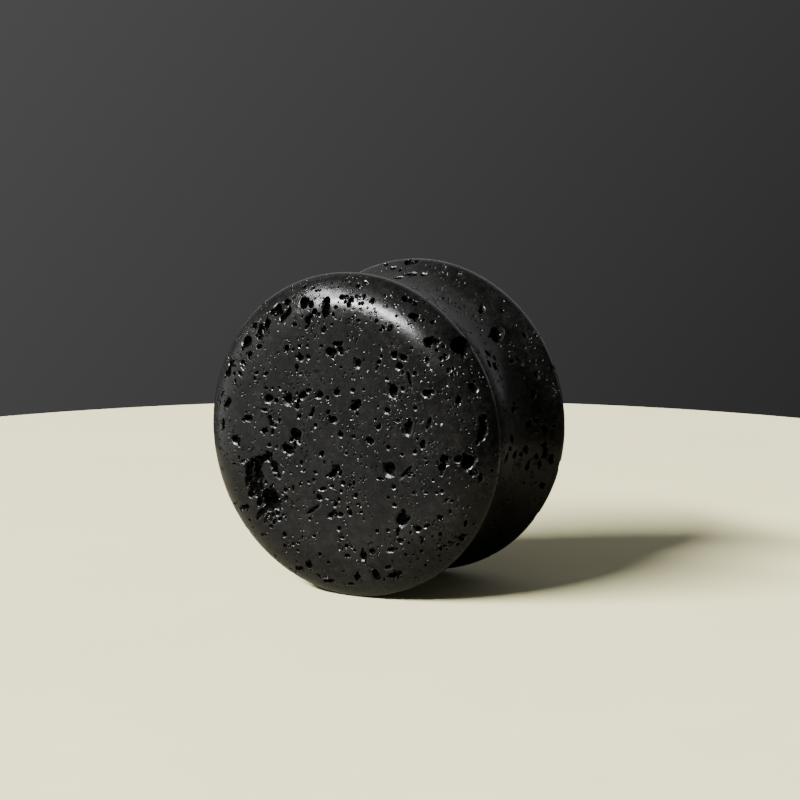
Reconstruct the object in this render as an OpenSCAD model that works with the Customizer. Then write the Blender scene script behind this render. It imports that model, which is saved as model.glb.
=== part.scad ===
// Double-flared ear plug, turned and polished from one piece of black vesicular lava stone.
// The plug lies on its two flares: its axis runs along Y, level, the front face looks along -Y,
// and Z = 0 is the surface that the flares rest on.

/* [Plug] */
// Diameter of the waist that the ear lobe sits round
gauge_d = 19; // [12:0.5:30]
// Height of each flare over the waist
flare_lip = 2; // [1:0.1:4]
// Length over the two flat faces
plug_len = 14; // [11:0.5:24]

/* [Flares] */
// Radius of the round crest of each flare
crest_r = 1.5; // [0.8:0.1:2]
// Width of the round band from a flare's rim in to the flat face
edge_w = 2.5; // [2:0.1:4]
// Slope from the face at which the band's arc runs into the crest's arc
blend_angle = 45; // [35:1:55]

/* [Pores] */
// Radius of a pore inside the stone over the radius of its mouth
pore_swell = 1.12; // [1.02:0.01:1.3]
// Number of large pores in the rear face
rear_pores = 16; // [8:1:24]
// Number of large pores in the far side of the waist
side_pores = 9; // [4:1:14]
// Mouth of the widest of those pores
pore_max = 1; // [0.6:0.05:1.2]
// Mouth of the narrowest of those pores
pore_min = 0.5; // [0.4:0.05:0.55]

/* [Hidden] */
body_fn = 120;
pore_fn = 20;
golden_turn = 180 * (3 - sqrt(5));
// Distance between the bubbles of a long pore, as a share of its width
bubble_step = 0.8;

flare_r = gauge_d / 2 + flare_lip;
waist_r = gauge_d / 2;

// The band's arc leaves the face flat and meets the crest's arc at blend_angle.
band_r = (edge_w - crest_r * (1 - sin(blend_angle))) / sin(blend_angle);
crest_depth = crest_r * cos(blend_angle) + band_r * (1 - cos(blend_angle));
crest_y = plug_len / 2 - crest_depth;
// The saddle's arc touches the waist diameter at the middle and both crests.
saddle_r = (pow(crest_y, 2) + pow(crest_r - flare_lip, 2) - pow(crest_r, 2)) / (2 * flare_lip);

crest_centre = [flare_r - crest_r, crest_y];
band_centre = [flare_r - edge_w, plug_len / 2 - band_r];
saddle_centre = [waist_r + saddle_r, 0];
crest_to_saddle = crest_centre - saddle_centre;
touch_angle = atan2(-crest_to_saddle[1], -crest_to_saddle[0]);
touch_point = crest_centre + crest_r * [cos(touch_angle), sin(touch_angle)];
face_slope_end = flare_r - crest_r + crest_r * sin(blend_angle);

// The larger pores of the front face as they lie on the stone. Columns: place across and up
// from the axis, width and length of the mouth, as shares of flare_r, and the turn of the
// length from level in degrees.
front_chart = [
    [-0.465, 0.760, 0.075, 0.085, 90],
    [-0.555, 0.645, 0.070, 0.110, 70],
    [-0.685, 0.545, 0.075, 0.075, 0],
    [-0.820, 0.355, 0.055, 0.100, 80],
    [-0.270, 0.810, 0.065, 0.065, 0],
    [-0.205, 0.735, 0.042, 0.100, 55],
    [-0.100, 0.800, 0.052, 0.110, 92],
    [-0.035, 0.550, 0.060, 0.110, 40],
    [-0.245, 0.262, 0.038, 0.090, 30],
    [-0.360, 0.220, 0.060, 0.060, 0],
    [-0.505, 0.215, 0.055, 0.055, 0],
    [-0.650, 0.080, 0.055, 0.055, 0],
    [-0.310, 0.005, 0.080, 0.080, 0],
    [-0.365, -0.095, 0.064, 0.080, 0],
    [-0.745, -0.065, 0.065, 0.065, 0],
    [-0.040, -0.205, 0.050, 0.095, 35],
    [-0.190, -0.450, 0.034, 0.110, 35],
    [-0.035, -0.465, 0.042, 0.100, 10],
    [-0.695, -0.487, 0.042, 0.080, 10],
    [0.605, 0.627, 0.052, 0.085, 0],
    [0.755, 0.615, 0.085, 0.110, 130],
    [0.422, 0.500, 0.048, 0.085, 115],
    [0.365, 0.330, 0.064, 0.074, 80],
    [0.477, 0.400, 0.032, 0.100, -75],
    [0.588, 0.325, 0.052, 0.052, 0],
    [0.105, 0.215, 0.050, 0.080, 25],
    [0.465, 0.105, 0.050, 0.072, 90],
    [0.605, 0.145, 0.036, 0.085, 70],
    [0.340, -0.150, 0.076, 0.076, 0],
    [0.455, -0.160, 0.036, 0.110, 45],
    [0.700, -0.090, 0.062, 0.105, 75],
    [0.850, -0.080, 0.090, 0.090, 0],
    [0.425, -0.460, 0.078, 0.100, 80],
    [0.360, -0.645, 0.036, 0.085, 15],
    [0.160, -0.700, 0.056, 0.056, 0],
    [0.235, -0.825, 0.058, 0.058, 0],
    [0.355, -0.810, 0.048, 0.092, 15],
    // The deep pit low on the left, with its two channels
    [-0.500, -0.420, 0.085, 0.095, 0],
    [-0.470, -0.495, 0.075, 0.120, -5],
    [-0.583, -0.385, 0.042, 0.120, 92],
    [-0.630, -0.280, 0.048, 0.110, 75],
    [-0.560, -0.185, 0.042, 0.110, 40],
    [-0.480, -0.175, 0.036, 0.080, -60],
];

// The larger pores of the near side's waist. Columns: angle from the top towards +X in
// degrees, place along the axis as a share of plug_len, width and length of the mouth as
// shares of flare_r, and the turn of the length from the axis in degrees.
side_chart = [
    [47.8, 0.175, 0.075, 0.095, 60],
    [35.5, 0.212, 0.046, 0.046, 0],
    [76.0, 0.225, 0.050, 0.050, 0],
    [105.0, 0.200, 0.048, 0.048, 0],
    [97.6, 0.165, 0.045, 0.045, 0],
    [87.2, 0.182, 0.046, 0.046, 0],
];

// First angle from the top, towards +X, of the side that the near chart doesn't cover
far_side_start = 130;
// Angle that the far side covers, round the bottom to the top
far_side_sweep = 240;
// Share of the flare radius that the rear face's pores reach
rear_reach = 0.72;
// Share of the length that the far side's pores spread over
side_reach = 0.42;

function fraction(v) = v - floor(v);

// Fixed scatter between 0 and 1 for pore i, a different one for each salt
function scatter(i, salt) = fraction(sin(i * 78.233 + salt * 37.719) * 437.585);

// Skin of a flare's face at a distance from the axis: [distance, depth, slope from the face]
function face_skin(r) =
    r <= flare_r - edge_w ? [r, 0, 0] :
    r <= face_slope_end ? let(slope = asin((r - flare_r + edge_w) / band_r))
        [r, band_r * (1 - cos(slope)), slope] :
    let(slope = asin(min(1, (r - flare_r + crest_r) / crest_r)))
        [r, crest_depth - crest_r * cos(slope), slope];

// Skin of the side at a place along the axis: [distance from the axis, place, slope]
function side_skin(y) =
    let(away = abs(y), way = y < 0 ? -1 : 1)
    away <= touch_point[1] ? let(slope = asin(away / saddle_r))
        [waist_r + saddle_r * (1 - cos(slope)), y, -way * slope] :
    let(slope = asin(min(1, (away - crest_y) / crest_r)))
        [flare_r - crest_r * (1 - cos(slope)), y, way * slope];

// Closed quarter-turn outline of a round sector from one angle to the other
module sector(centre, r, from, to) {
    reach = 2 * r;
    intersection() {
        translate(centre) circle(r, $fn = body_fn);
        translate(centre) polygon([
            [0, 0],
            reach * [cos(from), sin(from)],
            reach * [cos((from + to) / 2), sin((from + to) / 2)],
            reach * [cos(to), sin(to)],
        ]);
    }
}

// Half of the section, from the middle of the waist to the rear face
module half_section() {
    difference() {
        polygon([
            [0, 0], saddle_centre, touch_point, crest_centre, band_centre,
            [flare_r - edge_w, plug_len / 2], [0, plug_len / 2],
        ]);
        translate(saddle_centre) circle(saddle_r, $fn = body_fn);
    }
    sector(band_centre, band_r, 90 - blend_angle, 90);
    sector(crest_centre, crest_r, touch_angle, 90 - blend_angle);
}

module section() {
    half_section();
    mirror([0, 1]) half_section();
}

// Bubbles that a pore is left from, one run into the next: the mouth of the row lies in the
// plane Z = 0 and its length along X
module bubbles(wide, long) {
    bubble_r = pore_swell * wide / 2;
    sink = sqrt(pow(bubble_r, 2) - pow(wide / 2, 2));
    run = long - wide;
    steps = run > 0 ? ceil(run / (bubble_step * wide)) : 0;
    for (i = [0 : steps])
        translate([steps > 0 ? run * (i / steps - 0.5) : 0, 0, -sink]) sphere(bubble_r, $fn = pore_fn);
}

// Pores of a face that looks along +Z, charted from its centre
module face_pores(chart) {
    for (row = chart) {
        skin = face_skin(flare_r * norm([row[0], row[1]]));
        heading = atan2(row[1], row[0]);
        rotate([0, 0, heading])
            translate([skin[0], 0, -skin[1]])
                rotate([0, skin[2], 0])
                    rotate([0, 0, row[4] - heading])
                        bubbles(flare_r * row[2], flare_r * row[3]);
    }
}

// Pores of the side of a plug whose axis is Z, charted round it from +X
module side_pores_cut(chart) {
    for (row = chart) {
        skin = side_skin(plug_len * row[1]);
        rotate([0, 0, row[0]])
            translate([skin[0], 0, skin[1]])
                rotate([0, 90 - skin[2], 0])
                    rotate([0, 0, row[4]])
                        bubbles(flare_r * row[2], flare_r * row[3]);
    }
}

function mouth(i) = pore_min + (pore_max - pore_min) * pow(scatter(i, 3), 2);

rear_chart = [
    for (i = [0 : rear_pores - 1])
        let(
            away = rear_reach * sqrt((i + 0.5 + 0.8 * scatter(i, 1)) / (rear_pores + 0.8)),
            heading = i * golden_turn + 30 * scatter(i, 2),
            wide = mouth(i) / flare_r
        )
        [away * cos(heading), away * sin(heading), wide, wide * (1 + scatter(i, 4)), 180 * scatter(i, 5)]
];

far_side_chart = [
    for (i = [0 : side_pores - 1])
        let(
            heading = far_side_start + far_side_sweep * (i + scatter(i, 6)) / side_pores,
            along = side_reach * (scatter(i, 7) - 0.5),
            wide = mouth(i + rear_pores) / flare_r
        )
        [heading, along, wide, wide * (1 + scatter(i, 8)), 180 * scatter(i, 9)]
];

module stone_plug() {
    color([0.13, 0.13, 0.12])
        translate([0, 0, flare_r])
            difference() {
                rotate([-90, 0, 0]) rotate_extrude($fn = body_fn) section();
                rotate([90, 0, 0]) translate([0, 0, plug_len / 2]) face_pores(front_chart);
                rotate([-90, 0, 0]) translate([0, 0, plug_len / 2]) face_pores(rear_chart);
                rotate([-90, -90, 0]) side_pores_cut(side_chart);
                rotate([-90, -90, 0]) side_pores_cut(far_side_chart);
            }
}

stone_plug();
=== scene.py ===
# A double-flared ear plug of black lava stone, lying on its two flares.
# Its skin is spun from the section, and its pores are carved out of it in batches.
import math
import random
from itertools import product
import bmesh
import bpy
from mathutils import Matrix, Vector, noise
from mathutils.bvhtree import BVHTree
from mathutils.geometry import barycentric_transform
from mathutils.kdtree import KDTree


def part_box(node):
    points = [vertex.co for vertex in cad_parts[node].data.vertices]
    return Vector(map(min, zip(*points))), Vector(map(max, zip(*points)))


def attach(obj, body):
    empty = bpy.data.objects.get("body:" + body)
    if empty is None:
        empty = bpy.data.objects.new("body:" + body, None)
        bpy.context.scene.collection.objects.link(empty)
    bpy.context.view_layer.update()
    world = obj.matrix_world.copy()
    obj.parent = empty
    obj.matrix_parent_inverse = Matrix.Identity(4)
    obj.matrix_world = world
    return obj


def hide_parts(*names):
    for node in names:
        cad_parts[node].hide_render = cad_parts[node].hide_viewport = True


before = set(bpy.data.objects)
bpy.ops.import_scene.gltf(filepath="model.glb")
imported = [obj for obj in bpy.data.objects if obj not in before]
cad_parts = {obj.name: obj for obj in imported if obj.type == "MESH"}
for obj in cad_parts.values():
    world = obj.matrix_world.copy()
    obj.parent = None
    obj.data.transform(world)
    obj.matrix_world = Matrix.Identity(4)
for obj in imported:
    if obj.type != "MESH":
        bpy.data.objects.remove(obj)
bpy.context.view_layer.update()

mm = 0.001
tiny = 0.001 * mm  # points that lie closer than this are one
xAxis, yAxis, zAxis = Vector((1, 0, 0)), Vector((0, 1, 0)), Vector((0, 0, 1))


# Camera: it looks at the front face from the right and a little from above

camera = {
    "azimuth": 28.505,  # degrees from the plug's axis towards its right side
    "elevation": 8.862,
    "distance": 202.39 * mm,
    "aim": Vector((0.94, 0, 13.357)) * mm,
    "lens": 127.685,
}


def towards(azimuth, elevation):
    a, e = math.radians(azimuth), math.radians(elevation)
    return Vector((math.sin(a) * math.cos(e), -math.cos(a) * math.cos(e), math.sin(e)))


def makeCamera():
    data = bpy.data.cameras.new("camera")
    data.lens = camera["lens"]
    data.clip_start = 0.01
    data.clip_end = 50
    eye = bpy.data.objects.new("camera", data)
    bpy.context.collection.objects.link(eye)
    back = towards(camera["azimuth"], camera["elevation"])
    eye.location = camera["aim"] + camera["distance"] * back
    eye.rotation_euler = back.to_track_quat("Z", "Y").to_euler()
    bpy.context.scene.camera = eye


makeCamera()
print("camera set")


# The plug's skin. The sizes that the section needs come from the CAD box and from here.

plug = {
    "lip": 2.0 * mm,  # height of each flare over the waist
    "crestRadius": 0.6 * mm,
    "bandWidth": 3.4 * mm,  # round band between a flare's rim and its flat face
    "blendAngle": 50.0,  # slope at which the band runs into the crest
    "around": 132,
    "bandSteps": 6,
    "crestSteps": 5,
    "saddleSteps": 12,
    "unevenness": 0.07 * mm,  # low waves left by grinding, always inwards
    "wave": 6.0 * mm,
    "dome": 2.0,  # degrees that polishing rounded the flat face by, at its edge
    "shoulder": 1.6,  # and the start of the band
    "shoulderFrom": 0.8,  # share of the flat face's radius where the shoulder begins
    "shoulderTo": 1.2 * mm,  # and how far out into the band it goes
    "fadeFrom": 1.4 * mm,  # both end between these distances from the rim
    "fadeTo": 0.3 * mm,
}

boxLow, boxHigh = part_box("stone_plug")
flareRadius = min(boxHigh.x - boxLow.x, boxHigh.z - boxLow.z) / 2
halfLength = (boxHigh.y - boxLow.y) / 2
axisHeight = flareRadius
waistRadius = flareRadius - plug["lip"]
flatRadius = flareRadius - plug["bandWidth"]

blend = math.radians(plug["blendAngle"])
crestRadius = plug["crestRadius"]
bandRadius = (plug["bandWidth"] - crestRadius * (1 - math.sin(blend))) / math.sin(blend)
crestDepth = crestRadius * math.cos(blend) + bandRadius * (1 - math.cos(blend))
crestPlace = halfLength - crestDepth
saddleRadius = crestPlace**2 + (crestRadius - plug["lip"]) ** 2 - crestRadius**2
saddleRadius /= 2 * plug["lip"]
touchAngle = math.atan2(crestPlace, saddleRadius + crestRadius - plug["lip"])
slopeEnd = flareRadius - crestRadius * (1 - math.sin(blend))


def arc(bm, start, centre, angle, steps):
    made = bmesh.ops.spin(
        bm, geom=[start], cent=centre, axis=xAxis, dvec=(0, 0, 0), angle=angle, steps=steps
    )
    return [v for v in made["geom_last"] if isinstance(v, bmesh.types.BMVert)][0]


def sectionEdges(bm):
    # From the rear face's edge over its band and crest, down the saddle and up to the front
    point = bm.verts.new((0, halfLength, flatRadius))
    crestTurn = math.pi / 2 - blend + touchAngle
    rearBand = Vector((0, halfLength - bandRadius, flatRadius))
    frontBand = Vector((0, -rearBand.y, flatRadius))
    rearCrest = Vector((0, crestPlace, flareRadius - crestRadius))
    frontCrest = Vector((0, -crestPlace, rearCrest.z))
    saddle = Vector((0, 0, waistRadius + saddleRadius))
    point = arc(bm, point, rearBand, blend, plug["bandSteps"])
    point = arc(bm, point, rearCrest, crestTurn, plug["crestSteps"])
    point = arc(bm, point, saddle, -2 * touchAngle, plug["saddleSteps"])
    point = arc(bm, point, frontCrest, crestTurn, plug["crestSteps"])
    arc(bm, point, frontBand, blend, plug["bandSteps"])
    bmesh.ops.remove_doubles(bm, verts=bm.verts, dist=tiny)


def makeSkin():
    bm = bmesh.new()
    sectionEdges(bm)
    bmesh.ops.spin(
        bm, geom=bm.verts[:] + bm.edges[:], cent=(0, 0, 0), axis=yAxis, dvec=(0, 0, 0),
        angle=2 * math.pi, steps=plug["around"], use_merge=True,
    )
    bmesh.ops.remove_doubles(bm, verts=bm.verts, dist=tiny)
    bmesh.ops.holes_fill(bm, edges=[e for e in bm.edges if e.is_boundary], sides=0)
    bmesh.ops.recalc_face_normals(bm, faces=bm.faces)
    bm.normal_update()
    for v in bm.verts:
        away = 1 - abs(v.normal.y) if abs(v.co.y) < halfLength - tiny else 0
        depth = plug["unevenness"] * away * (0.5 + 0.5 * noise.noise(v.co / plug["wave"]))
        v.co -= v.normal * depth
    bmesh.ops.translate(bm, verts=bm.verts, vec=(0, 0, axisHeight))
    for face in bm.faces:
        face.smooth = True
    mesh = bpy.data.meshes.new("skin")
    bm.to_mesh(mesh)
    bm.free()
    return mesh


skin = makeSkin()
print("skin spun:", len(skin.polygons), "faces")


# Pores. Every chart gives them as they lie on the stone, with lengths as shares of the
# flare's radius.

pores = {
    "bubbleStep": 0.85,  # distance between the bubbles of a long pore, in widths
    "bubbleSize": (0.82, 1.12),
    "bubbleStretch": 1.15,  # the longest is this much longer than wide
    "stray": 0.12,  # how far a bubble lies off its string, in widths
    "stringFrom": 0.040,  # a long pore narrower than this is one stretched bubble
    "runFrom": 0.25,  # and so is one with no more than this over its width, in widths
    "open": 1.12,  # charted mouths were measured inside their worn lips
    "cutFrom": 0.0015 * mm,  # what lies deeper than this under the uncut skin is a pore
    "lip": 0.13 * mm,  # deepest point of the worn lip round a mouth
    "lipSlope": 0.70,  # cosine of its steepest slope
    "ragged": 0.26,  # how far noise pulls a pore's wall, in mouth radii
    "grain": 0.75,  # size of that noise, in mouths
    "beadsFrom": 0.40 * mm,  # a mouth at least this wide has small bubbles at its edge
    "beads": 2,
    "beadPlace": (0.52, 0.54),  # how far out they lie, in lengths and in widths
    "beadSize": (0.28, 0.46),
    "beadStretch": 1.2,
    "beadDepth": 0.9,
    "reach": 0.86,  # bubbles closer than the sum of these, in lengths, may touch
    "cell": 1.8 * mm,  # grid in which neighbours are looked up
    "weld": 0.0002 * mm,  # edges shorter than this are closed up
    "rearLarge": 16,
    "rearReach": 0.72,
    "rearJitter": 0.8,
    "rearSwing": 30,
    "sideLarge": 9,
    "sideReach": 0.42,
    "sideStart": 130,
    "sideSweep": 240,
    "widest": 1.0 * mm,
    "narrowest": 0.5 * mm,
}

# Front face: place across and up from the axis, width, length, and turn of the length
frontChart = [
    (-0.465, 0.760, 0.075, 0.085, 90),
    (-0.400, 0.805, 0.045, 0.055, 10),
    (-0.370, 0.755, 0.035, 0.055, 80),
    (-0.400, 0.720, 0.045, 0.060, 20),
    (-0.530, 0.665, 0.050, 0.070, 100),
    (-0.580, 0.630, 0.050, 0.075, 70),
    (-0.570, 0.585, 0.035, 0.055, 0),
    (-0.685, 0.545, 0.070, 0.080, 45),
    (-0.645, 0.475, 0.040, 0.045, 30),
    (-0.640, 0.650, 0.035, 0.045, 20),
    (-0.815, 0.380, 0.045, 0.080, 80),
    (-0.830, 0.330, 0.040, 0.065, 0),
    (-0.810, 0.160, 0.045, 0.065, 70),
    (-0.270, 0.810, 0.055, 0.070, 90),
    (-0.215, 0.805, 0.035, 0.050, 90),
    (-0.205, 0.740, 0.040, 0.100, 55),
    (-0.100, 0.800, 0.050, 0.110, 92),
    (-0.110, 0.660, 0.030, 0.045, 70),
    (-0.370, 0.530, 0.035, 0.045, 90),
    (-0.275, 0.480, 0.040, 0.045, 0),
    (-0.060, 0.525, 0.050, 0.065, 20),
    (-0.015, 0.580, 0.035, 0.075, 10),
    (0.010, 0.540, 0.040, 0.050, 90),
    (-0.025, 0.285, 0.040, 0.045, 0),
    (-0.140, 0.263, 0.045, 0.050, 60),
    (-0.220, 0.282, 0.030, 0.050, 10),
    (-0.265, 0.245, 0.040, 0.055, 30),
    (-0.360, 0.220, 0.055, 0.065, 90),
    (-0.505, 0.215, 0.050, 0.060, 100),
    (-0.190, 0.155, 0.026, 0.070, 70),
    (-0.050, 0.115, 0.045, 0.055, 0),
    (-0.650, 0.080, 0.045, 0.065, 10),
    (-0.850, 0.020, 0.035, 0.070, 90),
    (-0.530, 0.010, 0.035, 0.055, 0),
    (-0.310, 0.005, 0.075, 0.085, 90),
    (-0.315, -0.060, 0.024, 0.060, 90),
    (-0.365, -0.095, 0.060, 0.080, 0),
    (0.060, 0.850, 0.035, 0.045, 30),
    (0.475, 0.773, 0.045, 0.062, -10),
    (0.425, 0.855, 0.040, 0.100, -25),
    (0.605, 0.627, 0.050, 0.085, 0),
    (0.757, 0.612, 0.112, 0.128, 60),
    (0.375, 0.540, 0.040, 0.045, 90),
    (0.435, 0.525, 0.045, 0.050, 0),
    (0.410, 0.475, 0.040, 0.050, 0),
    (0.125, 0.475, 0.045, 0.050, 90),
    (0.365, 0.330, 0.060, 0.072, 80),
    (0.477, 0.400, 0.026, 0.105, -75),
    (0.588, 0.325, 0.045, 0.055, 0),
    (0.090, 0.308, 0.030, 0.042, 20),
    (0.105, 0.215, 0.050, 0.080, 25),
    (0.325, 0.200, 0.035, 0.045, 0),
    (0.790, 0.295, 0.035, 0.050, 90),
    (0.265, 0.095, 0.032, 0.042, 40),
    (0.465, 0.105, 0.048, 0.070, 90),
    (0.605, 0.145, 0.030, 0.085, 70),
    (0.205, 0.010, 0.040, 0.050, 0),
    (0.565, 0.015, 0.035, 0.055, 80),
    (0.860, 0.365, 0.050, 0.065, 90),
    (0.925, 0.130, 0.050, 0.150, 85),
    (0.340, -0.150, 0.070, 0.080, 90),
    (0.455, -0.160, 0.030, 0.115, 45),
    (0.700, -0.090, 0.060, 0.105, 75),
    (0.795, -0.050, 0.040, 0.050, 60),
    (0.850, -0.080, 0.085, 0.095, 50),
    (0.425, -0.455, 0.075, 0.090, 80),
    (0.398, -0.530, 0.028, 0.060, 80),
    (0.535, -0.500, 0.040, 0.045, 0),
    (0.595, -0.478, 0.024, 0.052, 30),
    (0.680, -0.420, 0.030, 0.045, 20),
    (0.815, -0.455, 0.030, 0.045, 80),
    (0.780, -0.545, 0.035, 0.058, 30),
    (0.415, -0.585, 0.030, 0.045, 0),
    (0.360, -0.645, 0.030, 0.085, 15),
    (0.220, -0.670, 0.035, 0.050, 0),
    (0.160, -0.700, 0.050, 0.062, 120),
    (0.235, -0.825, 0.050, 0.070, 80),
    (0.355, -0.810, 0.045, 0.092, 15),
    (0.100, -0.850, 0.045, 0.055, 90),
    (0.040, -0.905, 0.030, 0.055, 15),
    (-0.030, -0.190, 0.045, 0.070, 50),
    (-0.055, -0.220, 0.040, 0.060, 20),
    (-0.120, -0.315, 0.025, 0.062, 10),
    (-0.190, -0.450, 0.030, 0.110, 35),
    (-0.035, -0.465, 0.040, 0.100, 10),
    (-0.745, -0.065, 0.055, 0.070, 0),
    (-0.695, -0.487, 0.036, 0.080, 10),
    (-0.240, -0.805, 0.050, 0.062, 60),
    (-0.320, -0.845, 0.045, 0.075, 0),
    (-0.105, -0.900, 0.035, 0.060, 20),
    (-0.565, -0.655, 0.026, 0.070, 5),
    (-0.398, -0.625, 0.030, 0.042, 90),
    # Chips in the rim
    (-0.790, -0.615, 0.035, 0.060, 40),
    (-0.950, -0.300, 0.025, 0.035, 90),
    (-0.555, -0.830, 0.030, 0.045, 30),
]

# Small pores of the front face: place across and up, width and height
frontSmall = [
    # Upper left
    (-0.197, 0.885, 0.020, 0.020), (-0.315, 0.680, 0.035, 0.030), (-0.280, 0.550, 0.025, 0.025),
    (-0.225, 0.555, 0.020, 0.020), (-0.130, 0.560, 0.020, 0.020), (-0.220, 0.490, 0.030, 0.030),
    (-0.600, 0.330, 0.020, 0.030), (-0.290, 0.210, 0.030, 0.030), (-0.520, 0.275, 0.030, 0.020),
    (-0.300, 0.180, 0.030, 0.040), (-0.208, 0.132, 0.025, 0.025), (-0.285, 0.120, 0.030, 0.030),
    (-0.170, 0.072, 0.028, 0.028), (0.005, 0.030, 0.035, 0.035), (-0.530, 0.140, 0.050, 0.025),
    (-0.480, 0.055, 0.030, 0.030), (-0.495, 0.095, 0.030, 0.030), (-0.300, 0.420, 0.030, 0.030),
    (-0.275, 0.380, 0.020, 0.020), (-0.220, 0.590, 0.015, 0.015), (0.010, 0.440, 0.020, 0.020),
    (-0.035, 0.165, 0.015, 0.015), (-0.750, 0.300, 0.020, 0.030), (-0.905, 0.235, 0.030, 0.015),
    (-0.430, 0.500, 0.015, 0.015), (-0.675, 0.415, 0.030, 0.030), (-0.010, 0.955, 0.020, 0.015),
    (-0.045, 0.915, 0.020, 0.015), (-0.100, 0.935, 0.015, 0.015), (-0.035, 0.800, 0.025, 0.020),
    (-0.045, 0.755, 0.020, 0.030), (-0.052, 0.695, 0.020, 0.020), (-0.295, 0.855, 0.015, 0.020),
    (-0.190, 0.840, 0.015, 0.015), (-0.150, 0.805, 0.020, 0.012), (-0.215, 0.685, 0.020, 0.030),
    # Upper right
    (0.000, 0.860, 0.035, 0.030), (0.108, 0.840, 0.012, 0.012), (0.250, 0.855, 0.012, 0.012),
    (0.277, 0.850, 0.015, 0.012), (0.533, 0.750, 0.020, 0.020), (0.535, 0.715, 0.020, 0.015),
    (0.467, 0.723, 0.050, 0.014), (0.640, 0.580, 0.025, 0.020), (0.280, 0.680, 0.025, 0.020),
    (0.290, 0.708, 0.015, 0.015), (0.488, 0.585, 0.025, 0.020), (0.285, 0.525, 0.030, 0.025),
    (0.270, 0.490, 0.030, 0.030), (0.325, 0.390, 0.035, 0.020), (0.430, 0.340, 0.030, 0.030),
    (0.165, 0.315, 0.020, 0.020), (0.265, 0.220, 0.015, 0.020), (0.515, 0.230, 0.030, 0.030),
    (0.120, 0.165, 0.020, 0.030), (0.075, 0.130, 0.030, 0.015), (0.245, 0.140, 0.020, 0.020),
    (0.395, 0.140, 0.020, 0.020), (0.095, 0.025, 0.030, 0.025), (0.615, 0.025, 0.015, 0.015),
    (0.718, 0.475, 0.020, 0.020), (0.580, 0.445, 0.025, 0.015), (0.065, 0.735, 0.015, 0.015),
    (0.130, 0.730, 0.030, 0.020), (0.215, 0.275, 0.030, 0.015), (0.465, 0.300, 0.015, 0.015),
    # Lower left
    (-0.270, -0.165, 0.025, 0.035), (-0.130, -0.100, 0.035, 0.035), (-0.175, -0.218, 0.035, 0.025),
    (-0.720, -0.170, 0.020, 0.020), (-0.760, -0.220, 0.050, 0.020), (-0.780, -0.470, 0.030, 0.015),
    (-0.675, -0.570, 0.030, 0.020), (-0.385, -0.510, 0.020, 0.030), (-0.400, -0.700, 0.035, 0.020),
    (-0.335, -0.680, 0.020, 0.020), (-0.305, -0.720, 0.030, 0.020), (-0.295, -0.670, 0.020, 0.020),
    (-0.090, -0.770, 0.025, 0.025), (-0.120, -0.740, 0.015, 0.015), (-0.408, -0.865, 0.040, 0.020),
    (-0.185, -0.615, 0.030, 0.020), (-0.215, -0.510, 0.020, 0.020), (-0.165, -0.525, 0.025, 0.012),
    (-0.285, -0.510, 0.030, 0.012), (-0.150, -0.370, 0.040, 0.040), (-0.055, -0.295, 0.035, 0.020),
    (-0.010, -0.370, 0.025, 0.025), (-0.060, -0.385, 0.015, 0.015), (0.000, -0.630, 0.015, 0.015),
    (-0.330, -0.330, 0.020, 0.045), (-0.280, -0.300, 0.020, 0.020), (-0.770, -0.390, 0.020, 0.012),
    (-0.715, -0.383, 0.020, 0.012), (-0.895, -0.270, 0.020, 0.020), (-0.970, -0.300, 0.015, 0.015),
    (-0.865, -0.145, 0.020, 0.012), (-0.460, -0.890, 0.030, 0.012), (-0.530, -0.825, 0.040, 0.012),
    (-0.745, -0.630, 0.045, 0.014), (-0.790, -0.645, 0.020, 0.020),
    # Lower right
    (0.045, -0.085, 0.025, 0.020), (0.150, -0.070, 0.012, 0.012), (0.425, -0.058, 0.030, 0.020),
    (0.305, 0.000, 0.015, 0.015), (0.585, -0.070, 0.020, 0.020), (0.280, -0.218, 0.050, 0.020),
    (0.022, -0.265, 0.035, 0.030), (0.067, -0.276, 0.030, 0.025), (0.160, -0.245, 0.015, 0.015),
    (0.370, -0.260, 0.030, 0.030), (0.470, -0.310, 0.015, 0.012), (0.375, -0.370, 0.035, 0.025),
    (0.105, -0.340, 0.030, 0.025), (0.120, -0.390, 0.025, 0.015), (0.068, -0.445, 0.030, 0.040),
    (0.055, -0.415, 0.020, 0.020), (0.145, -0.435, 0.020, 0.020), (0.255, -0.540, 0.030, 0.025),
    (0.330, -0.530, 0.025, 0.020), (0.588, -0.275, 0.030, 0.020), (0.660, -0.270, 0.030, 0.020),
    (0.635, -0.195, 0.025, 0.020), (0.880, -0.140, 0.050, 0.040), (0.755, -0.315, 0.030, 0.020),
    (0.740, -0.380, 0.020, 0.030), (0.015, -0.605, 0.030, 0.020), (0.100, -0.675, 0.020, 0.020),
    (0.050, -0.715, 0.050, 0.025), (0.550, -0.735, 0.020, 0.025), (0.510, -0.775, 0.015, 0.015),
    (0.010, -0.820, 0.020, 0.020), (0.660, -0.620, 0.020, 0.040), (0.640, -0.670, 0.020, 0.020),
    (0.555, -0.580, 0.020, 0.040), (0.670, -0.525, 0.030, 0.020), (0.715, -0.580, 0.030, 0.020),
    (0.915, -0.170, 0.030, 0.060), (0.465, -0.720, 0.015, 0.015), (0.470, -0.825, 0.020, 0.015),
]

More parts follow.
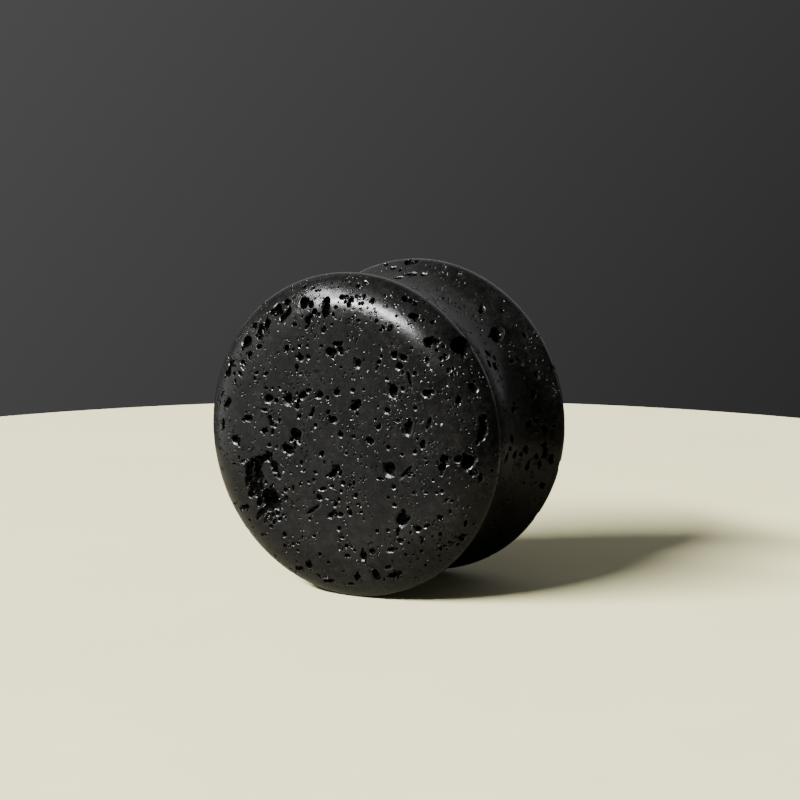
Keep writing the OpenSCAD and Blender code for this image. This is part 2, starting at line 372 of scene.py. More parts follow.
# Near side: angle from the top towards the right, place along the axis as a share of the
# length, width, length, and turn of the length from the axis
sideChart = [
    (40.8, 0.286, 0.024, 0.036, 70),
    (47.8, 0.175, 0.075, 0.095, 60),
    (35.5, 0.212, 0.035, 0.050, 20),
    (69.2, 0.268, 0.032, 0.050, 100),
    (61.4, 0.214, 0.026, 0.080, 110),
    (75.8, 0.229, 0.045, 0.060, 60),
    (53.8, 0.036, 0.032, 0.045, 120),
    (60.1, 0.036, 0.035, 0.052, 90),
    (56.7, 0.068, 0.026, 0.038, 90),
    (58.3, -0.004, 0.030, 0.058, 80),
    (53.3, 0.300, 0.028, 0.046, 90),
    (68.3, 0.355, 0.028, 0.042, 100),
    (101.7, 0.313, 0.034, 0.058, 90),
    (99.2, 0.282, 0.036, 0.062, 80),
    (103.9, 0.262, 0.030, 0.045, 100),
    (100.8, 0.238, 0.028, 0.038, 90),
    (105.0, 0.200, 0.032, 0.072, 80),
    (97.6, 0.170, 0.040, 0.052, 90),
    (99.7, 0.137, 0.026, 0.030, 0),
    (99.3, 0.089, 0.032, 0.048, 80),
    (112.5, 0.310, 0.034, 0.036, 0),
    (91.9, 0.050, 0.034, 0.055, 90),
    (96.4, 0.041, 0.028, 0.032, 0),
    (100.0, 0.014, 0.032, 0.062, 70),
    (79.7, 0.079, 0.034, 0.042, 0),
    (87.2, 0.182, 0.040, 0.056, 80),
    (86.4, 0.225, 0.032, 0.040, 60),
    (90.0, 0.271, 0.036, 0.048, 90),
    (120.8, 0.161, 0.026, 0.034, 90),
    (96.1, 0.271, 0.034, 0.040, 20),
    # The top of the rear flare, placed through the camera from where they are in the photo
    (-4.0, 0.325, 0.045, 0.060, 95),
    (-5.0, 0.225, 0.028, 0.072, 90),
    (0.0, 0.255, 0.032, 0.085, 90),
    (5.0, 0.260, 0.028, 0.045, 90),
    (-14.0, 0.330, 0.026, 0.040, 60),
    (-10.0, 0.300, 0.026, 0.045, 90),
    (-6.5, 0.285, 0.022, 0.030, 0),
    (-1.0, 0.335, 0.024, 0.030, 0),
    # Two more between the flares, placed in the same way
    (75.0, 0.225, 0.030, 0.050, 80),
    (35.0, 0.225, 0.030, 0.048, 60),
    # Chips in the rim of the rear flare
    (104.5, 0.375, 0.050, 0.070, 90),
    (126.0, 0.380, 0.040, 0.065, 90),
    (89.0, 0.378, 0.026, 0.050, 90),
]

# The crater low on the left of the front face: place across and up, width, length, turn of
# the length, and depth as a share of a whole bubble's
craterChart = [
    (-0.515, -0.385, 0.070, 0.080, 60, 1.0),
    (-0.492, -0.420, 0.098, 0.115, -30, 1.2),
    (-0.455, -0.438, 0.060, 0.070, -20, 1.0),
    (-0.500, -0.462, 0.060, 0.070, 0, 1.1),
    (-0.415, -0.415, 0.028, 0.070, 30, 0.8),
    (-0.600, -0.186, 0.040, 0.080, 5, 1.0),
    (-0.535, -0.158, 0.050, 0.120, 20, 1.2),
    (-0.485, -0.175, 0.040, 0.070, -55, 1.0),
    (-0.460, -0.212, 0.044, 0.070, -60, 1.0),
    (-0.585, -0.225, 0.062, 0.095, 85, 1.2),
    (-0.578, -0.285, 0.062, 0.080, 80, 1.2),
    (-0.580, -0.350, 0.050, 0.075, 90, 1.2),
    (-0.578, -0.415, 0.040, 0.095, 90, 1.1),
    (-0.618, -0.320, 0.050, 0.095, 60, 1.1),
    (-0.634, -0.375, 0.046, 0.080, 85, 1.0),
    (-0.648, -0.262, 0.046, 0.120, 80, 1.1),
    (-0.660, -0.325, 0.026, 0.060, 72, 0.9),
    (-0.575, -0.515, 0.034, 0.115, 52, 0.8),
    (-0.545, -0.510, 0.032, 0.036, 0, 0.9),
    (-0.515, -0.520, 0.032, 0.046, 40, 0.8),
    (-0.478, -0.515, 0.034, 0.044, 60, 0.7),
    (-0.500, -0.548, 0.030, 0.040, 20, 0.7),
    (-0.465, -0.550, 0.030, 0.044, 60, 0.9),
    (-0.438, -0.500, 0.030, 0.036, 0, 0.8),
    (-0.425, -0.530, 0.026, 0.036, 30, 0.8),
    (-0.422, -0.468, 0.026, 0.032, 0, 0.7),
    (-0.535, -0.555, 0.028, 0.050, 60, 0.8),
    (-0.490, -0.585, 0.026, 0.040, 10, 0.8),
    (-0.400, -0.505, 0.022, 0.030, 0, 0.8),
]


def seat(point, normal, lengthways):
    # A pore's own axes: its length along X and the way out of the stone along Z
    place = Matrix((lengthways, normal.cross(lengthways), normal)).transposed().to_4x4()
    return Matrix.Translation(point + Vector((0, 0, axisHeight))) @ place


def faceSeat(across, up, turn, side):
    away = math.hypot(across, up) * flareRadius
    heading = math.atan2(up, across)
    slope, depth = 0, 0
    if away > slopeEnd:
        slope = math.asin(min(1, (away - flareRadius + crestRadius) / crestRadius))
        depth = crestDepth - crestRadius * math.cos(slope)
    elif away > flatRadius:
        slope = math.asin((away - flatRadius) / bandRadius)
        depth = bandRadius * (1 - math.cos(slope))
    outward = side * yAxis
    radial = Vector((math.cos(heading), 0, -side * math.sin(heading)))
    tangent = Vector((-math.sin(heading), 0, -side * math.cos(heading)))
    down = radial * math.cos(slope) - outward * math.sin(slope)
    swing = math.radians(turn) - heading
    return seat(
        radial * min(away, flareRadius) + outward * (halfLength - depth),
        outward * math.cos(slope) + radial * math.sin(slope),
        down * math.cos(swing) + tangent * math.sin(swing),
    )


def sideSeat(angle, share, turn):
    y = 2 * halfLength * share
    radial = Vector((math.sin(math.radians(angle)), 0, math.cos(math.radians(angle))))
    tangent = Vector((radial.z, 0, -radial.x))
    if abs(y) <= saddleRadius * math.sin(touchAngle):
        slope = -math.asin(y / saddleRadius)
        away = waistRadius + saddleRadius * (1 - math.cos(slope))
    else:
        slope = math.copysign(math.asin(min(1, (abs(y) - crestPlace) / crestRadius)), y)
        away = flareRadius - crestRadius * (1 - math.cos(slope))
    along = radial * math.sin(slope) - yAxis * math.cos(slope)
    swing = math.radians(turn)
    return seat(
        radial * away + yAxis * y,
        radial * math.cos(slope) + yAxis * math.sin(slope),
        along * math.cos(swing) + tangent * math.sin(swing),
    )


def scatter(i, salt):
    # Fixed scatter between 0 and 1 for pore i, a different one for each salt
    spread = math.sin(math.radians(i * 78.233 + salt * 37.719)) * 437.585
    return spread - math.floor(spread)


def mouthOf(i):
    return pores["narrowest"] + (pores["widest"] - pores["narrowest"]) * scatter(i, 3) ** 2


def rearPores():
    golden = math.pi * (3 - math.sqrt(5))
    count, jitter = pores["rearLarge"], pores["rearJitter"]
    listed = []
    for i in range(count):
        away = pores["rearReach"] * math.sqrt((i + 0.5 + jitter * scatter(i, 1)) / (count + jitter))
        heading = i * golden + math.radians(pores["rearSwing"] * scatter(i, 2))
        turn = 180 * scatter(i, 5)
        place = faceSeat(away * math.cos(heading), away * math.sin(heading), turn, 1)
        listed.append((place, mouthOf(i), mouthOf(i) * (1 + scatter(i, 4)), 1))
    return listed


def farSidePores():
    count = pores["sideLarge"]
    listed = []
    for i in range(count):
        angle = pores["sideStart"] + pores["sideSweep"] * (i + scatter(i, 6)) / count
        share = pores["sideReach"] * (scatter(i, 7) - 0.5)
        wide = mouthOf(i + pores["rearLarge"])
        place = sideSeat(angle, share, 180 * scatter(i, 9))
        listed.append((place, wide, wide * (1 + scatter(i, 8)), 1))
    return listed


def chartedPores():
    # (seat, width, length, depth) of each charted pore, in metres
    mouth = pores["open"] * flareRadius
    listed = []
    for across, up, wide, long, turn, deep in craterChart:
        listed.append((faceSeat(across, up, turn, -1), wide * mouth, long * mouth, deep))
    for across, up, wide, long, turn in frontChart:
        listed.append((faceSeat(across, up, turn, -1), wide * mouth, long * mouth, 1))
    for across, up, wide, tall in frontSmall:
        turn = 0 if wide >= tall else 90
        small, large = sorted((wide * mouth, tall * mouth))
        listed.append((faceSeat(across, up, turn, -1), small, large, 1))
    for angle, share, wide, long, turn in sideChart:
        listed.append((sideSeat(angle, share, turn), wide * mouth, long * mouth, 1))
    return listed + rearPores() + farSidePores()


# Small pores sown over the skin, thicker in some patches than in others and round the
# charted pores

sown = {
    "seed": 11,
    "tries": 8000,
    "faces": 0.48,  # share of the tries over the two faces
    "steep": 0.7,  # where the faces end and the side starts
    "clear": 0.25 * mm,  # none where the plug touches the floor
    "even": 0.26,  # how thick they stand where the noise is level
    "patch": 3.2 * mm,
    "patchPull": 1.3,
    "spot": 0.3,  # size of the spots in a patch, in patches
    "spotPull": 1.1,
    "close": 0.75 * mm,  # more of them stand this close to a charted pore
    "beside": 1.5,
    "apart": 0.30,
    "mostlySmall": 2.6,  # power that makes wide ones rare
    "longer": 0.9,  # the longest is this much longer than wide
    "depth": (0.55, 0.6),  # shallowest, and how much deeper the deepest is
    "rim": 0.3,  # the front ends this many crest radii inside the rim
    "nearSide": (-60, 125),  # degrees from the top towards the right that the photo shows
    "nearCrest": 0.9,  # and this many crest radii past the rear crest's middle
    "regions": {  # share of the tries kept, and narrowest and widest mouth in mm
        "front": (0.72, 0.13, 0.40),
        "near": (0.40, 0.14, 0.30),
        "far": (0.56, 0.15, 0.62),
    },
}


def regionOf(point):
    away = math.hypot(point.x, point.z - axisHeight)
    if point.y < -crestPlace and away < flareRadius - sown["rim"] * crestRadius:
        return "front"
    start, end = sown["nearSide"]
    turned = math.degrees(math.atan2(point.x, point.z - axisHeight))
    if start < turned < end and point.y < crestPlace + sown["nearCrest"] * crestRadius:
        return "near"
    return "far"


def trianglesOf(surface):
    surface.calc_loop_triangles()
    places = [v.co.copy() for v in surface.vertices]
    return places, [tuple(t.vertices) for t in surface.loop_triangles]


def treeOf(listed):
    tree = KDTree(len(listed))
    for i, pore in enumerate(listed):
        tree.insert(pore[0].translation, i)
    tree.balance()
    return tree


def pointOn(skinTree, chance):
    # A random point of the skin, found over a flat face or out from the axis
    angle = 2 * math.pi * chance.random()
    radial = Vector((math.cos(angle), 0, math.sin(angle)))
    onFace, share, side = chance.random() < sown["faces"], chance.random(), chance.choice((-1, 1))
    if onFace:
        start = radial * flareRadius * math.sqrt(share) + 2 * halfLength * side * yAxis
        way = -side * yAxis
    else:
        start, way = halfLength * (2 * share - 1) * yAxis, radial
    point, normal, _, _ = skinTree.ray_cast(start + axisHeight * zAxis, way)
    fits = point and (abs(normal.y) > sown["steep"]) == onFace
    return (point, normal) if fits else None


def sowPores(surface, charted):
    skinTree = BVHTree.FromPolygons(*trianglesOf(surface))
    chartedTree = treeOf(charted)
    chance = random.Random(sown["seed"])
    shallow, deeper = sown["depth"]
    listed = []
    for _ in range(sown["tries"]):
        hit = pointOn(skinTree, chance)
        draws = [chance.random() for _ in range(4)]
        if not hit or hit[0].z < sown["clear"]:
            continue
        point, normal = hit
        kept, narrow, wide = sown["regions"][regionOf(point)]
        crowd = sown["even"] + sown["patchPull"] * noise.noise(point / sown["patch"])
        crowd += sown["spotPull"] * noise.noise(point / (sown["spot"] * sown["patch"]))
        kept *= sown["beside"] if chartedTree.find(point)[2] < sown["close"] else sown["apart"]
        if draws[0] > kept * crowd:
            continue
        mouth = (narrow + (wide - narrow) * draws[1] ** sown["mostlySmall"]) * mm
        lengthways = normal.cross(xAxis).normalized()
        lengthways.rotate(Matrix.Rotation(2 * math.pi * draws[2], 3, normal))
        place = seat(point - axisHeight * zAxis, normal, lengthways)
        long = mouth * (1 + sown["longer"] * draws[3] ** 2)
        listed.append((place, mouth, long, shallow + deeper * draws[2]))
    return listed


# Bubbles: closed rings from just over the skin to the bottom of the pore. Height over the
# skin and width of each ring are shares of the mouth's radius.

bubbleKinds = {
    "large": {
        "from": 0.42 * mm,
        "segments": 14,
        "rings": (
            (0.40, 1.50), (0.10, 1.40), (-0.20, 0.90), (-0.75, 0.98), (-1.6, 0.72), (-2.3, 0.25),
        ),
    },
    "middle": {
        "from": 0.22 * mm,
        "segments": 10,
        "rings": ((0.40, 1.50), (0.10, 1.42), (-0.21, 0.88), (-1.0, 0.90), (-2.0, 0.35)),
    },
    "small": {
        "from": 0,
        "segments": 8,
        "rings": ((0.24, 1.50), (-0.18, 0.86), (-1.4, 0.50)),
    },
}


def makeBubble(kind):
    bm = bmesh.new()
    rings = kind["rings"]
    top, mouth = rings[0]
    bmesh.ops.create_circle(
        bm, cap_ends=False, radius=mouth, segments=kind["segments"],
        matrix=Matrix.Translation((0, 0, top)),
    )
    edges = bm.edges[:]
    for (height, width), (nextHeight, nextWidth) in zip(rings, rings[1:]):
        made = bmesh.ops.extrude_edge_only(bm, edges=edges)["geom"]
        edges = [e for e in made if isinstance(e, bmesh.types.BMEdge)]
        verts = [v for v in made if isinstance(v, bmesh.types.BMVert)]
        narrower = nextWidth / width
        bmesh.ops.scale(bm, verts=verts, vec=(narrower, narrower, 1))
        bmesh.ops.translate(bm, verts=verts, vec=(0, 0, nextHeight - height))
    bmesh.ops.holes_fill(bm, edges=[e for e in bm.edges if e.is_boundary], sides=0)
    bmesh.ops.recalc_face_normals(bm, faces=bm.faces)
    mesh = bpy.data.meshes.new("bubble")
    bm.to_mesh(mesh)
    bm.free()
    return mesh


def stringOf(place, wide, run, deep, chance):
    steps = math.ceil(run / (pores["bubbleStep"] * wide))
    made = []
    for i in range(steps + 1):
        size = wide * chance.uniform(*pores["bubbleSize"])
        shift = (run * (i / steps - 0.5), pores["stray"] * wide * chance.uniform(-1, 1), 0)
        stretch = chance.uniform(1, pores["bubbleStretch"])
        made.append((place @ Matrix.Translation(shift), size, stretch, deep))
    return made


def bubblesOf(place, wide, long, deep, chance):
    # A long pore is a string of bubbles that ran into each other, and small ones burst
    # into the edge of a large one
    run = long - wide
    if run < pores["runFrom"] * wide or wide < pores["stringFrom"] * flareRadius:
        made = [(place, wide, long / wide, deep)]
    else:
        made = stringOf(place, wide, run, deep, chance)
    if wide >= pores["beadsFrom"]:
        along, across = pores["beadPlace"]
        for _ in range(pores["beads"]):
            way = chance.uniform(0, 2 * math.pi)
            shift = (along * long * math.cos(way), across * wide * math.sin(way), 0)
            size = wide * chance.uniform(*pores["beadSize"])
            bead = (place @ Matrix.Translation(shift), size, pores["beadStretch"], pores["beadDepth"])
            made.append(bead)
    return made


def inBatches(bubbles):
    # Bubbles of one batch never touch, so that each batch is one clean cutter
    grid, batches = {}, []
    for place, wide, stretch, deep in sorted(bubbles, key=lambda b: -b[1] * b[2]):
        centre, reach = place.translation, pores["reach"] * wide * stretch
        home = tuple(math.floor(k / pores["cell"]) for k in centre)
        taken = set()
        for step in product((-1, 0, 1), repeat=3):
            beside = tuple(h + s for h, s in zip(home, step))
            for other, otherReach, used in grid.get(beside, ()):
                if (other - centre).length < reach + otherReach:
                    taken.add(used)
        batch = min(set(range(len(batches) + 1)) - taken)
        if batch == len(batches):
            batches.append([])
        batches[batch].append((place, wide, stretch, deep))
        grid.setdefault(home, []).append((centre, reach, batch))
    return batches


def makeCutter(batch, templates):
    bm = bmesh.new()
    for place, wide, stretch, deep in batch:
        kind = next(name for name, k in bubbleKinds.items() if wide >= k["from"])
        before = len(bm.verts)
        bm.from_mesh(templates[kind])
        bm.verts.ensure_lookup_table()
        verts = bm.verts[before:]
        size = Matrix.Diagonal((wide * stretch / 2, wide / 2, wide * deep / 2, 1))
        bmesh.ops.transform(bm, matrix=place @ size, verts=verts)
        grain, pull = pores["grain"] * wide, pores["ragged"] * wide / 2
        for v in verts:
            v.co += pull * noise.noise_vector(v.co / grain)
    mesh = bpy.data.meshes.new("cutter")
    bm.to_mesh(mesh)
    bm.free()
    mesh.materials.append(lavaPore)
    return bpy.data.objects.new("cutter", mesh)


def carve(surface, batches):
    templates = {name: makeBubble(kind) for name, kind in bubbleKinds.items()}
    for material in (lavaSkin, lavaPore, lavaLip):
        surface.materials.append(material)
    stone = bpy.data.objects.new("stone", surface)
    bpy.context.collection.objects.link(stone)
    cutters = [makeCutter(batch, templates) for batch in batches]
    for cutter in cutters:
        bpy.context.collection.objects.link(cutter)
        cut = stone.modifiers.new("pores", "BOOLEAN")
        cut.operation = "DIFFERENCE"
        cut.solver = "MANIFOLD"
        cut.material_mode = "TRANSFER"
        cut.object = cutter
    depsgraph = bpy.context.evaluated_depsgraph_get()
    carved = bpy.data.meshes.new_from_object(stone.evaluated_get(depsgraph))
    for thing in cutters + [stone]:
        bpy.data.objects.remove(thing)
    return carved


def dropCrumbs(mesh):
    # Bits of wall that neighbouring pores cut loose are taken away
    bm = bmesh.new()
    bm.from_mesh(mesh)
    left, groups = set(bm.faces), []
    while left:
        group, edge = set(), [left.pop()]
        while edge:
            face = edge.pop()
            group.add(face)
            for e in face.edges:
                for near in e.link_faces:
                    if near in left:
                        left.discard(near)
                        edge.append(near)
        groups.append(group)
    groups.sort(key=len)
    crumbs = [f for group in groups[:-1] for f in group]
    bmesh.ops.delete(bm, geom=crumbs, context="FACES")
    bmesh.ops.dissolve_degenerate(bm, edges=bm.edges, dist=pores["weld"])
    bmesh.ops.triangulate(bm, faces=bm.faces)
    bm.to_mesh(mesh)
    bm.free()
    mended = mesh.validate()
    print("crumbs dropped:", len(groups) - 1, "mended:", mended)


def eased(value, start, end):
    share = min(1, max(0, (value - start) / (end - start)))
    return share * share * (3 - 2 * share)


def rounded(point, normal):
    # Polishing leaves the face a little domed and its edge softer than the section says
    radial = Vector((point.x, 0, point.z - axisHeight))
    away = radial.length
    if abs(point.y) < crestPlace or away < 10 * tiny:
        return normal
    start, end = plug["shoulderFrom"] * flatRadius, flatRadius + plug["shoulderTo"]
    turn = plug["dome"] * min(1, away / flatRadius)
    turn += plug["shoulder"] * eased(away, start, end)
    turn *= 1 - eased(away, flareRadius - plug["fadeFrom"], flareRadius - plug["fadeTo"])
    return (normal + radial * (math.tan(math.radians(turn)) / away)).normalized()


def onFlatFace(point):
    return abs(point.y) > halfLength - tiny


def sortFaces(mesh, tree):
    # Gives each face its material, and the points of the pores the normals that they have
    # on the lip and inside
    onLip = [Vector() for _ in mesh.vertices]
    inside = [Vector() for _ in mesh.vertices]
    for face in mesh.polygons:
        _, out, _, depth = tree.find_nearest(face.center)
        cut = depth > pores["cutFrom"]
        lip = cut and depth < pores["lip"] and face.normal.dot(out) > pores["lipSlope"]
        face.material_index = 2 if lip else 1 if cut else 0
        if cut:
            for i in face.vertices:
                (onLip if lip else inside)[i] += face.area * face.normal
    return inside, onLip


def shade(mesh, surface):
    # The skin keeps the smooth normals of the uncut form right up to a pore's lip
    places, triangles = trianglesOf(surface)
    tree = BVHTree.FromPolygons(places, triangles)
    facing = [v.normal.copy() for v in surface.vertices]
    for i, place in enumerate(places):
        if onFlatFace(place):
            facing[i] = math.copysign(1, place.y) * yAxis
    inside, onLip = sortFaces(mesh, tree)

    def smoothNormal(point):
        if onFlatFace(point):
            return rounded(point, math.copysign(1, point.y) * yAxis)
        near, _, t, _ = tree.find_nearest(point)
        corners = [places[j] for j in triangles[t]]
        ways = [facing[j] for j in triangles[t]]
        return rounded(point, barycentric_transform(near, *corners, *ways).normalized())

    normals = [None] * len(mesh.loops)
    known = {}
    for face in mesh.polygons:
        for k in face.loop_indices:
            i = mesh.loops[k].vertex_index
            if face.material_index:
                normals[k] = (onLip if face.material_index == 2 else inside)[i].normalized()
                continue
            if i not in known:
                known[i] = smoothNormal(mesh.vertices[i].co)
            normals[k] = known[i]
    mesh.shade_smooth()
    mesh.normals_split_custom_set(normals)


# Materials

lava = {
    "ior": 1.5,
    "skin": {
        "tones": ((0.30, (0.0010, 0.0010, 0.0010)), (0.72, (0.0046, 0.0045, 0.0041))),
        "patch": 2.4 * mm,
        "grains": ((0.32, 0.25), (0.5, 1.0), (0.68, 2.6)),  # how much darker or paler
        "grain": 0.5 * mm,
        "crowds": ((0.47, 0.0), (0.62, 1.0)),  # where pinholes are sparse and thick
        "crowd": 1.3 * mm,
        "holes": ((0.22, 1.0), (0.40, 0.0)),
        "hole": 0.34 * mm,
        "holeDepth": 0.08 * mm,
        # painted shade in the pinholes: how much darker the colour is inside them
        "pinholeShade": ((0.2, 1.0), (0.7, 0.1)),
        "roughs": ((0.3, 0.17), (0.7, 0.29)),
        "rough": 0.8 * mm,
        "wave": 0.9 * mm,
        "waveDepth": 0.015 * mm,
        "fine": 0.16 * mm,
        "fineDepth": 0.007 * mm,
        "specular": 0.22,
    },
    "pore": {  # dull and almost black, with a glassy spot here and there
        "tones": ((0.3, (0.0010, 0.0010, 0.0010)), (0.75, (0.0045, 0.0043, 0.0038))),
        "patch": 0.3 * mm,
        "roughs": ((0.44, 0.55), (0.54, 0.14)),
        "rough": 0.35 * mm,
        "lump": 0.28 * mm,
        "lumpDepth": 0.05 * mm,
        "specular": 0.26,
    },
    "lip": {  # a little paler, partly from wear and partly as a painted highlight on the lip
        "tones": ((0.3, (0.0015, 0.0015, 0.0015)), (0.75, (0.0080, 0.0078, 0.0070))),
        "patch": 0.3 * mm,
        "roughs": ((0.40, 0.40), (0.62, 0.20)),
        "rough": 0.4 * mm,
        "lump": 0.2 * mm,
        "lumpDepth": 0.02 * mm,
        "specular": 0.26,
    },
}


def node(tree, kind, **values):
    # Sets the node's own settings and, with _ for a space, its sockets
    made = tree.nodes.new(kind)
    for name, value in values.items():
        if hasattr(made, name):
            setattr(made, name, value)
        else:
            made.inputs[name.replace("_", " ")].default_value = value
    return made


def ramp(tree, source, stops):
    made = tree.nodes.new("ShaderNodeValToRGB")
    elements = made.color_ramp.elements
    while len(elements) < len(stops):
        elements.new(0.5)
    for element, (place, tone) in zip(elements, stops):
        element.position = place
        element.color = (*tone, 1) if isinstance(tone, tuple) else (tone, tone, tone, 1)
    tree.links.new(source, made.inputs["Fac"])
    return made.outputs["Color"]


def bump(tree, height, distance, below=None):
    made = node(tree, "ShaderNodeBump", Strength=1.0, Distance=distance)
    tree.links.new(height, made.inputs["Height"])
    if below:
        tree.links.new(below, made.inputs["Normal"])
    return made.outputs["Normal"]


def noiseOn(tree, place, size, detail, roughness):
    made = node(tree, "ShaderNodeTexNoise", Scale=1 / size, Detail=detail, Roughness=roughness)
    tree.links.new(place, made.inputs["Vector"])
    return made.outputs["Fac"]


def cellsOn(tree, place, size):
    made = node(tree, "ShaderNodeTexVoronoi", Scale=1 / size)
    tree.links.new(place, made.inputs["Vector"])
    return made.outputs["Distance"]


def times(tree, a, b):
    made = node(tree, "ShaderNodeMath", operation="MULTIPLY")
    tree.links.new(a, made.inputs[0])
    tree.links.new(b, made.inputs[1])
    return made.outputs[0]


def tinted(tree, tones, shading):
    mix = node(tree, "ShaderNodeMix", data_type="RGBA", blend_type="MULTIPLY")
    mix.inputs["Factor"].default_value = 1.0
    tree.links.new(tones, mix.inputs["A"])
    tree.links.new(shading, mix.inputs["B"])
    return mix.outputs["Result"]


def between(tree, value, start, end):
    # 0 at the start, 1 at the end and beyond
    made = node(tree, "ShaderNodeMapRange", From_Min=start, From_Max=end)
    made.interpolation_type = "SMOOTHSTEP"
    tree.links.new(value, made.inputs["Value"])
    return made.outputs["Result"]


def startMaterial(name):
    material = bpy.data.materials.new(name)
    material.use_nodes = True
    tree = material.node_tree
    place = tree.nodes.new("ShaderNodeTexCoord").outputs["Object"]
    return material, tree, tree.nodes["Principled BSDF"], place


def setGloss(shader, look):
    shader.inputs["IOR"].default_value = lava["ior"]
    shader.inputs["Specular IOR Level"].default_value = look["specular"]


def makeLavaSkin(look):
    material, tree, shader, place = startMaterial("lava_skin")
    patches = ramp(tree, noiseOn(tree, place, look["patch"], 5, 0.65), look["tones"])
    grain = ramp(tree, noiseOn(tree, place, look["grain"], 5, 0.85), look["grains"])
    # Pinholes and raw spots between the pores, sparse in some places and thick in others
    crowd = ramp(tree, noiseOn(tree, place, look["crowd"], 3, 0.6), look["crowds"])
    holes = times(tree, ramp(tree, cellsOn(tree, place, look["hole"]), look["holes"]), crowd)
    # The pinholes are painted darker in the colour, as painted shade inside them
    stone = tinted(tree, tinted(tree, patches, grain), ramp(tree, holes, look["pinholeShade"]))
    tree.links.new(stone, shader.inputs["Base Color"])
    rough = ramp(tree, noiseOn(tree, place, look["rough"], 5, 0.7), look["roughs"])
    tree.links.new(rough, shader.inputs["Roughness"])
    waves = bump(tree, noiseOn(tree, place, look["wave"], 2, 0.5), look["waveDepth"])
    fine = bump(tree, noiseOn(tree, place, look["fine"], 2, 0.6), look["fineDepth"], waves)
    deep = bump(tree, between(tree, holes, 1, 0), look["holeDepth"], fine)
    tree.links.new(deep, shader.inputs["Normal"])
    setGloss(shader, look)
    return material


def makeRawLava(name, look):
    material, tree, shader, place = startMaterial(name)
    tone = ramp(tree, noiseOn(tree, place, look["patch"], 4, 0.65), look["tones"])
    tree.links.new(tone, shader.inputs["Base Color"])
    rough = ramp(tree, noiseOn(tree, place, look["rough"], 2, 0.5), look["roughs"])
    tree.links.new(rough, shader.inputs["Roughness"])
    lumps = bump(tree, noiseOn(tree, place, look["lump"], 2, 0.55), look["lumpDepth"])
    tree.links.new(lumps, shader.inputs["Normal"])
    setGloss(shader, look)
    return material


lavaSkin = makeLavaSkin(lava["skin"])
# The lip's paler colour is partly a painted highlight round each pore
lavaLip = makeRawLava("lava_lip", lava["lip"])
lavaPore = makeRawLava("lava_pore", lava["pore"])


def makePlug():
    noise.seed_set(sown["seed"])  # otherwise the noise on the pores' walls differs each run
    charted = chartedPores()
    small = sowPores(skin, charted)
    chance = random.Random(sown["seed"] + 1)
    bubbles = [b for pore in charted + small for b in bubblesOf(*pore, chance)]
    batches = inBatches(bubbles)
    print("pores:", len(charted), "charted,", len(small), "sown")
    print("bubbles:", len(bubbles), "in", len(batches), "batches")
    mesh = carve(skin.copy(), batches)
    mesh.name = "lava_plug"
    dropCrumbs(mesh)
    shade(mesh, skin)
    stone = bpy.data.objects.new("lava_plug", mesh)
    bpy.context.collection.objects.link(stone)
    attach(stone, "root")
    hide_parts("stone_plug")
    print("carved:", len(mesh.polygons), "triangles")


makePlug()


# Floor and light

room = {
    "floorRadius": 76 * mm,
    "floorThick": 4 * mm,
    "floorBack": 9 * mm,  # how far behind the plug the round floor is centred
    "floorSides": 160,
    "floorPatch": 12 * mm,
    "floorRough": 0.7,
    "floorTones": ((0.3, (0.78, 0.745, 0.41)), (0.7, (0.82, 0.78, 0.435))),
    "mirrorRadius": 46 * mm,  # only this much of the floor shows in the polish
    "mirrorTop": 0.01 * mm,
    "mirrorThick": 0.005 * mm,
    # dark tones that paint the floor's reflection dimmer than the floor
    "mirrorTones": ((0.3, (0.17, 0.16, 0.10)), (0.7, (0.19, 0.18, 0.12))),
    "away": 1.6,  # distance of the lights
    "upWay": Vector((-0.60, -0.50, 0.62)),
    "glow": ((0.20, 0.02), (0.50, 0.085), (0.62, 0.085), (0.75, 0.19)),  # towards upWay
}

# Every light: where it is from the plug as azimuth and elevation, like the camera's, its width
# and height in metres, and its power. The soft cards only show in the polish.
lights = {
    "key": {"place": (-26, 36.5), "size": (1.02, 0.15), "power": 121, "card": False},
    "side": {"place": (-57, 43), "size": (0.50, 0.11), "power": 15, "card": True},
    "left": {"place": (-63.5, -6), "size": (2.3, 1.7), "power": 14.4, "card": True},
    "right": {"place": (140, 8), "size": (1.8, 1.2), "power": 0.8, "card": True},
    "above": {"place": (-168, 40), "size": (3.4, 2.2), "power": 13.5, "card": True},
}


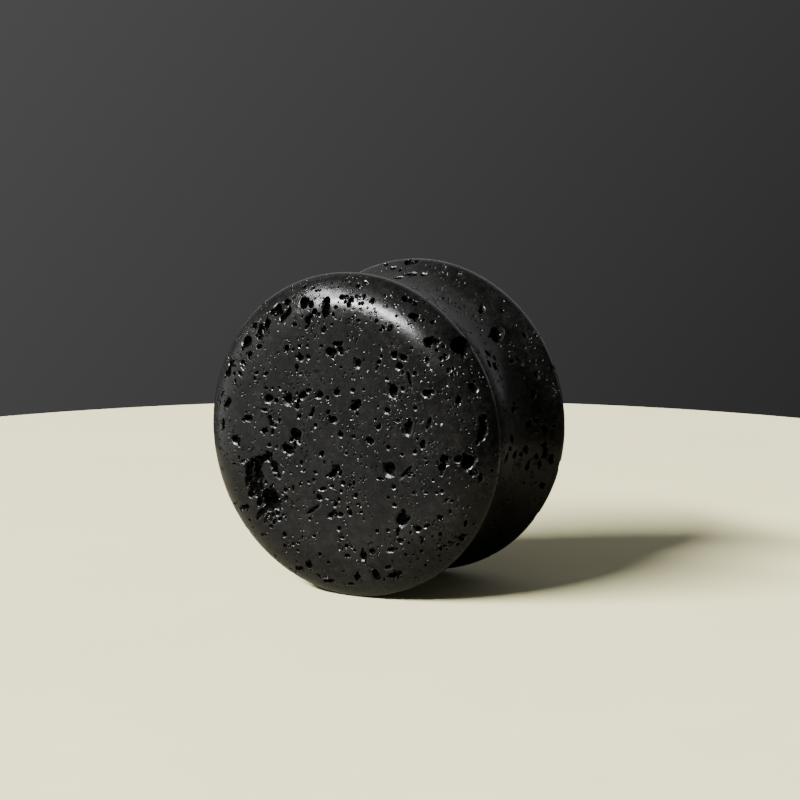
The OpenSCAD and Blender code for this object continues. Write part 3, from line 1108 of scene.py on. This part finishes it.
def disc(name, radius, top, thick, tones):
    material, tree, shader, place = startMaterial(name)
    tone = ramp(tree, noiseOn(tree, place, room["floorPatch"], 3, 0.5), tones)
    tree.links.new(tone, shader.inputs["Base Color"])
    shader.inputs["Roughness"].default_value = room["floorRough"]
    bm = bmesh.new()
    back = -towards(camera["azimuth"], 0)
    middle = Matrix.Translation(back * room["floorBack"] + zAxis * (top - thick))
    bmesh.ops.create_circle(
        bm, cap_ends=True, radius=radius, segments=room["floorSides"], matrix=middle
    )
    made = bmesh.ops.extrude_face_region(bm, geom=bm.faces[:], use_keep_orig=True)
    raised = [v for v in made["geom"] if isinstance(v, bmesh.types.BMVert)]
    bmesh.ops.translate(bm, verts=raised, vec=(0, 0, thick))
    bmesh.ops.recalc_face_normals(bm, faces=bm.faces)
    mesh = bpy.data.meshes.new(name)
    bm.to_mesh(mesh)
    bm.free()
    mesh.materials.append(material)
    piece = bpy.data.objects.new(name, mesh)
    bpy.context.collection.objects.link(piece)
    return piece


def makeFloor():
    # The polish shows a smaller floor than the one that is seen, and a darker one: its dark colour
    # paints a dimmer reflection of the floor
    floor = disc("floor", room["floorRadius"], 0, room["floorThick"], room["floorTones"])
    floor.visible_glossy = False
    mirrored = disc(
        "floor_in_polish", room["mirrorRadius"], room["mirrorTop"], room["mirrorThick"],
        room["mirrorTones"],
    )
    mirrored.visible_camera = False
    mirrored.visible_diffuse = False
    mirrored.visible_shadow = False


def makeLight(name, place, size, power, card):
    data = bpy.data.lights.new(name, "AREA")
    data.shape = "RECTANGLE"
    data.size, data.size_y = size
    data.energy = power
    light = bpy.data.objects.new(name, data)
    way = towards(*place)
    light.location = way * room["away"]
    light.rotation_euler = way.to_track_quat("Z", "Y").to_euler()
    light.visible_camera = False
    light.visible_diffuse = not card
    bpy.context.collection.objects.link(light)


def makeRoom():
    # Dim all round and a little brighter above and on the left
    world = bpy.data.worlds.new("room")
    world.use_nodes = True
    tree = world.node_tree
    way = tree.nodes.new("ShaderNodeTexCoord").outputs["Generated"]
    facing = node(tree, "ShaderNodeVectorMath", operation="DOT_PRODUCT")
    facing.inputs[1].default_value = room["upWay"].normalized()
    tree.links.new(way, facing.inputs[0])
    around = ramp(tree, between(tree, facing.outputs["Value"], -1, 1), room["glow"])
    tree.links.new(around, tree.nodes["Background"].inputs["Color"])
    bpy.context.scene.world = world


makeFloor()
for name, light in lights.items():
    makeLight(name, **light)
makeRoom()
print("floor and light set")
